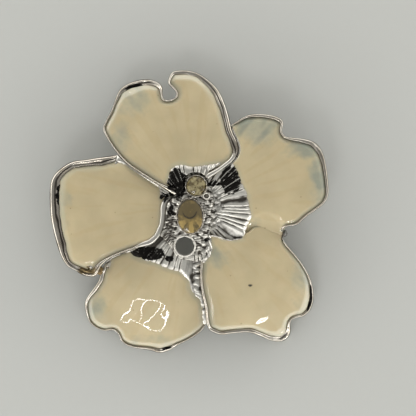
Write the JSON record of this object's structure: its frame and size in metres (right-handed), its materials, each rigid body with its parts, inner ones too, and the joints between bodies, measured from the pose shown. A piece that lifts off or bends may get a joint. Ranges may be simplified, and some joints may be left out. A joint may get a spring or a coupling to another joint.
{
  "type": "flower brooch",
  "caption": "Domed flower brooch with enamelled petals, glass stones in a cast centre, and a bar pin back with a hinged stem and a roll-over safety catch.",
  "frame": {"origin": "the middle of the flower's outline, on the plane that the pin back and the petal tips rest on", "axes": "+Z out of the flower's face, +Y from the middle towards the notched top petal, +X towards the pin's hinge"},
  "size_m": [0.0556, 0.0566, 0.011],
  "materials": {
    "silver_plate": "polished cast metal with tarnish in the hollows",
    "cream_enamel": "glossy cream enamel",
    "amber_glass": "polished, foil backed",
    "pale_glass": "facetted, foil backed",
    "old_solder": "dull brown residue over solder",
    "solder": "dull solder",
    "pin_back_metal": "plated sheet metal",
    "pin_wire": "drawn steel wire"
  },
  "bodies": {
    "flower": {"top_petal": "silver_plate", "right_petal": "silver_plate", "lower_right_petal": "silver_plate", "lower_left_petal": "silver_plate", "left_petal": "silver_plate", "centre_casting": "silver_plate", "top_enamel": "cream_enamel", "right_enamel": "cream_enamel", "lower_right_enamel": "cream_enamel", "lower_left_enamel": "cream_enamel", "left_enamel": "cream_enamel", "oval_stone": "amber_glass", "round_stone": "pale_glass", "left_solder": "old_solder", "right_solder": "solder", "bar_solder": "solder", "pin_bar": "pin_back_metal", "hinge_rivet": "pin_back_metal", "catch_housing": "pin_back_metal"},
    "pin": {"pin_stem": "pin_wire"},
    "catch": {"catch_barrel": "pin_back_metal"}
  },
  "joints": [
    {"name": "pin_hinge", "type": "hinge", "parent": "flower", "child": "pin", "pos_m": [0.0141, 0.0015, 0.0017], "axis": [0, -1, 0], "range_deg": [0, 110]},
    {"name": "catch_turn", "type": "hinge", "parent": "flower", "child": "catch", "pos_m": [-0.0145, 0.0015, 0.0017], "axis": [1, 0, 0], "range_deg": [0, 100]}
  ]
}
